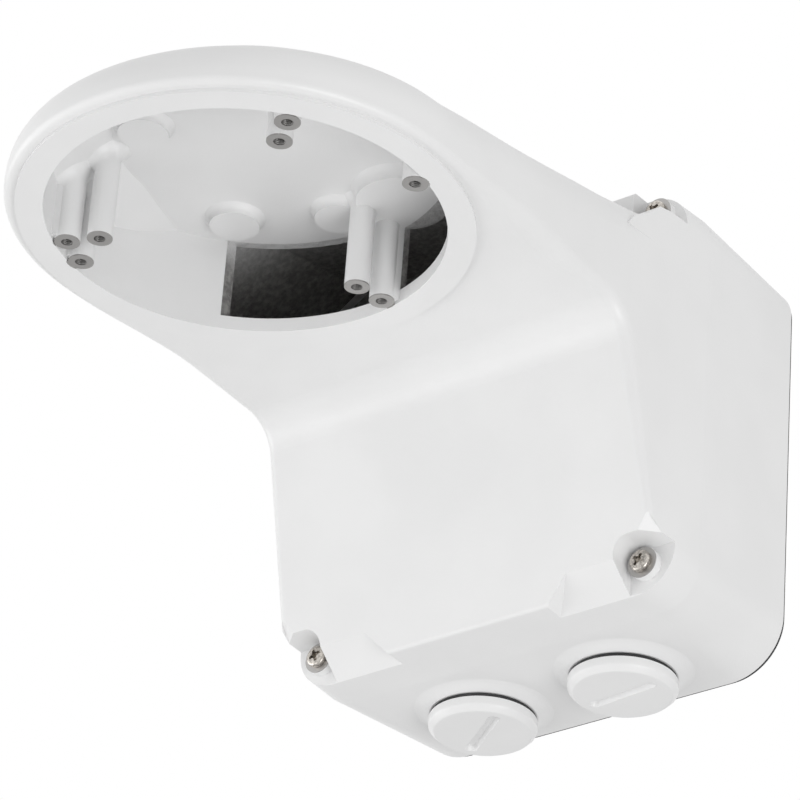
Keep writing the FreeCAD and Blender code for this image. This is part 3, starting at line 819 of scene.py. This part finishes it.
def add_camera(scene, lens):
    """Camera at the photograph's place, in sharp focus all through."""
    camera = bpy.data.objects.new("camera", bpy.data.cameras.new("camera"))
    scene.collection.objects.link(camera)
    camera.data.lens = lens
    camera.data.sensor_width = 36.0
    camera.data.clip_start = 0.05
    camera.matrix_world = Matrix.Translation(CAMERA_PLACE) @ CAMERA_TURN.to_4x4()
    scene.camera = camera


def add_lamp(scene, name, power):
    """Round soft lamp, turned towards the bracket's middle."""
    place, size = LAMPS[name]
    light = bpy.data.lights.new(name, "AREA")
    light.shape = "DISK"
    light.size = size
    light.energy = power
    body = bpy.data.objects.new(name, light)
    scene.collection.objects.link(body)
    body.location = place
    body.rotation_euler = (Vector(place) - Vector(LAMP_TARGET)).to_track_quat("Z", "Y").to_euler()


def add_floor(scene, low):
    """Pale floor. The camera sees it mostly white, and it keeps the object's shadow."""
    mesh = bpy.data.meshes.new("floor")
    far = FLOOR_HALF
    corners = [(-far, -far, low), (far, -far, low), (far, far, low), (-far, far, low)]
    mesh.from_pydata(corners, [], [(0, 1, 2, 3)])
    ground = bpy.data.objects.new("floor", mesh)
    scene.collection.objects.link(ground)
    recipe = new_recipe("pale_floor")
    seen = recipe.out("ShaderNodeLightPath", "Is Camera Ray")
    plain = recipe.out("ShaderNodeBsdfDiffuse", 0, None, {"Color": (0.82, 0.82, 0.82, 1.0)})
    glow = recipe.out("ShaderNodeEmission", 0, None, {"Color": WHITE, "Strength": 1.0})
    both = recipe.mix_shader(seen * 0.8, plain, glow)
    recipe.node("ShaderNodeOutputMaterial", None, {0: both})
    mesh.materials.append(recipe.owner)


def add_surround(scene, ambient):
    """White surround for the camera and for reflections, and softer light for the rest."""
    scene.world = bpy.data.worlds.new("surround")
    sky = Recipe(scene.world)
    path = sky.node("ShaderNodeLightPath")
    seen = Shade(sky, path.outputs["Is Camera Ray"])
    for kind in ("Is Glossy Ray", "Is Transmission Ray"):
        seen = seen.most(Shade(sky, path.outputs[kind]))
    soft = sky.out("ShaderNodeBackground", 0, None, {"Color": WHITE, "Strength": ambient})
    white = sky.out("ShaderNodeBackground", 0, None, {"Color": WHITE, "Strength": 1.0})
    sky.node("ShaderNodeOutputWorld", None, {0: sky.mix_shader(seen, soft, white)})


class BRACKET_OT_stage(Operator):
    """Camera at the photograph's place, soft lamps, a pale floor and a white surround."""

    bl_idname = "bracket.stage"
    bl_label = "Stage"

    def execute(self, context):
        scene = context.scene
        stage = scene.bracket_stage
        add_camera(scene, stage.lens)
        for name in LAMPS:
            add_lamp(scene, name, getattr(stage, name))
        add_floor(scene, stage.floor_height)
        add_surround(scene, stage.ambient)
        scene.view_settings.view_transform = "Standard"
        return {"FINISHED"}


STEPS = (
    BRACKET_OT_stage, BRACKET_OT_castings, BRACKET_OT_rubber, BRACKET_OT_screws,
    BRACKET_OT_plugs, BRACKET_OT_post_threads, BRACKET_OT_fillets,
)
GROUPS = {
    "bracket_sizes": BracketSizes,
    "bracket_finish": BracketFinish,
    "bracket_stage": BracketStage,
}


class BRACKET_PT_panel(Panel):
    """Sizes, finishes and steps of the bracket."""

    bl_idname = "BRACKET_PT_panel"
    bl_label = "Wall bracket"
    bl_space_type = "VIEW_3D"
    bl_region_type = "UI"
    bl_category = "Bracket"

    def draw(self, context):
        for name, group in GROUPS.items():
            box = self.layout.box()
            for key in group.__annotations__:
                box.prop(getattr(context.scene, name), key)
        for step in STEPS:
            self.layout.operator(step.bl_idname)


def register():
    for group in GROUPS.values():
        bpy.utils.register_class(group)
    for name, group in GROUPS.items():
        setattr(bpy.types.Scene, name, PointerProperty(type=group))
    for step in STEPS:
        bpy.utils.register_class(step)
    bpy.utils.register_class(BRACKET_PT_panel)


def unregister():
    bpy.utils.unregister_class(BRACKET_PT_panel)
    for step in reversed(STEPS):
        bpy.utils.unregister_class(step)
    for name, group in GROUPS.items():
        delattr(bpy.types.Scene, name)
        bpy.utils.unregister_class(group)


def plain(box):
    """The corners of a box as plain lists."""
    return [[float(part) for part in corner] for corner in box]


def main():
    register()
    for step in STEPS:
        family, action = step.bl_idname.split(".")
        getattr(getattr(bpy.ops, family), action)()


if __name__ == "__main__":
    main()
